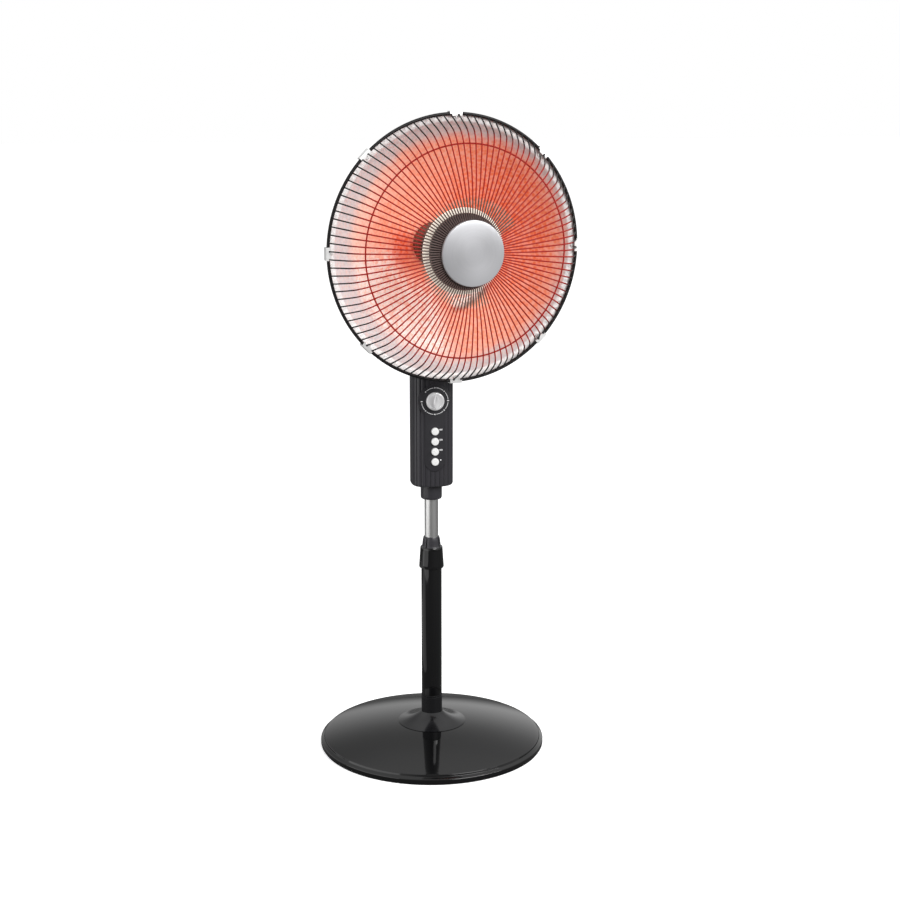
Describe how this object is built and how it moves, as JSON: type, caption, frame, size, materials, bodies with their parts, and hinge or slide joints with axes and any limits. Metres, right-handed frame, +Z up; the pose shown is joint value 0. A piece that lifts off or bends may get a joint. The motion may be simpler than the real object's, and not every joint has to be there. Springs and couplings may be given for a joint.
{
  "type": "sun heater",
  "caption": "Round radiant heater: a dish reflector behind a domed wire guard swings and tilts on a control column that slides on a telescopic pole over a weighted round base.",
  "frame": {"origin": "on the floor at the middle of the round base's underside, under the pole's axis", "axes": "+Z up along the pole, the heater faces -Y, and +X is to the right of a viewer who stands behind -Y and looks at its front"},
  "size_m": [0.4401, 0.399, 1.1163],
  "materials": {
    "gloss_black_enamel": "gloss",
    "satin_black_plastic": "satin",
    "matt_black_plastic": "matt",
    "black_rubber_pad": "matt",
    "black_steel": "satin",
    "black_painted_head": "satin",
    "cast_weight": "rough",
    "bright_steel": "polished",
    "brushed_silver": "brushed",
    "hammered_reflector": "hammered",
    "white_plastic": "satin",
    "pale_ceramic": "matt",
    "dark_ceramic": "matt",
    "glowing_wire": "oxidised"
  },
  "bodies": {
    "stand": {"floor_pad": "black_rubber_pad", "base_plate": "black_steel", "base_shell": "gloss_black_enamel", "base_weight": "cast_weight", "pole_bolt": "bright_steel", "pole_socket": "matt_black_plastic", "base_skirt": "satin_black_plastic", "outer_pole": "gloss_black_enamel", "pole_collet": "satin_black_plastic"},
    "lock_nut": {"height_lock_nut": "gloss_black_enamel"},
    "column": {"inner_pole": "bright_steel", "inner_pole_guide": "white_plastic", "column_collar": "satin_black_plastic", "collar_screw": "bright_steel", "column_front": "satin_black_plastic", "column_rear": "satin_black_plastic", "column_screw_1": "bright_steel", "column_screw_2": "bright_steel", "column_screw_3": "bright_steel", "cord_gland": "matt_black_plastic", "control_fascia": "matt_black_plastic", "timer_body": "pale_ceramic", "push_switch_block": "matt_black_plastic", "tip_over_switch": "white_plastic", "swing_motor": "bright_steel", "swivel_bush": "white_plastic"},
    "timer_knob": {"timer_knob": "brushed_silver"},
    "push_button_1": {"push_button_1": "white_plastic"},
    "push_button_2": {"push_button_2": "white_plastic"},
    "push_button_3": {"push_button_3": "white_plastic"},
    "push_button_4": {"push_button_4": "white_plastic"},
    "crank": {"swing_crank": "white_plastic"},
    "swivel": {"swivel_shaft": "bright_steel", "tilt_neck": "black_painted_head", "tilt_bolt": "bright_steel"},
    "head": {"tilt_bracket": "black_painted_head", "saddle_screw": "bright_steel", "rear_cup": "black_painted_head", "rear_cover": "black_painted_head", "mount_plate": "bright_steel", "reflector_bowl": "hammered_reflector", "element_base": "pale_ceramic", "ceramic_core": "dark_ceramic", "heating_coil": "glowing_wire", "heat_deflector": "pale_ceramic", "element_shield": "black_steel", "tie_rod": "bright_steel", "tie_rod_nut_1": "bright_steel", "tie_rod_nut_2": "bright_steel", "front_guard": "black_steel", "guard_middle_ring": "black_steel", "hub_cap": "brushed_silver", "rim_clip_1": "bright_steel", "rim_clip_2": "bright_steel", "rim_clip_3": "bright_steel", "rim_clip_4": "bright_steel", "rim_clip_5": "bright_steel", "rim_clip_6": "bright_steel", "rim_clip_7": "bright_steel", "rim_clip_8": "bright_steel"}
  },
  "joints": [
    {"name": "lock_nut_turn", "type": "hinge", "parent": "stand", "child": "lock_nut", "pos_m": [0, 0, 0.345], "axis": [0, 0, 1], "range_deg": [0, 90]},
    {"name": "height_slide", "type": "slide", "parent": "stand", "child": "column", "axis": [0, 0, 1], "range_m": [-0.06, 0.11]},
    {"name": "timer_turn", "type": "hinge", "parent": "column", "child": "timer_knob", "pos_m": [0, -0.03, 0.62876], "axis": [0, 1, 0], "range_deg": [0, 315]},
    {"name": "push_button_1_press", "type": "slide", "parent": "column", "child": "push_button_1", "axis": [0, 1, 0], "range_m": [0, 0.0035], "stiffness_N_per_m": 600, "springref_m": -0.001},
    {"name": "push_button_2_press", "type": "slide", "parent": "column", "child": "push_button_2", "axis": [0, 1, 0], "range_m": [0, 0.0035], "stiffness_N_per_m": 600, "springref_m": -0.001},
    {"name": "push_button_3_press", "type": "slide", "parent": "column", "child": "push_button_3", "axis": [0, 1, 0], "range_m": [0, 0.0035], "stiffness_N_per_m": 600, "springref_m": -0.001},
    {"name": "push_button_4_press", "type": "slide", "parent": "column", "child": "push_button_4", "axis": [0, 1, 0], "range_m": [0, 0.0035], "stiffness_N_per_m": 600, "springref_m": -0.001},
    {"name": "head_swing", "type": "hinge", "parent": "column", "child": "swivel", "pos_m": [0, 0, 0.742], "axis": [0, 0, 1], "range_deg": [-46.4, 29.6]},
    {"name": "crank_turn", "type": "hinge", "parent": "column", "child": "crank", "pos_m": [0, 0.0125, 0.717], "axis": [0, 0, 1], "range_deg": [-126, 80]},
    {"name": "head_tilt", "type": "hinge", "parent": "swivel", "child": "head", "pos_m": [0, 0, 0.80696], "axis": [0.9893, 0.1461, 0], "range_deg": [-20, 10]}
  ],
  "couplings": [
    {"joint": "crank_turn", "follows": "head_swing", "ratio": 2.7}
  ]
}
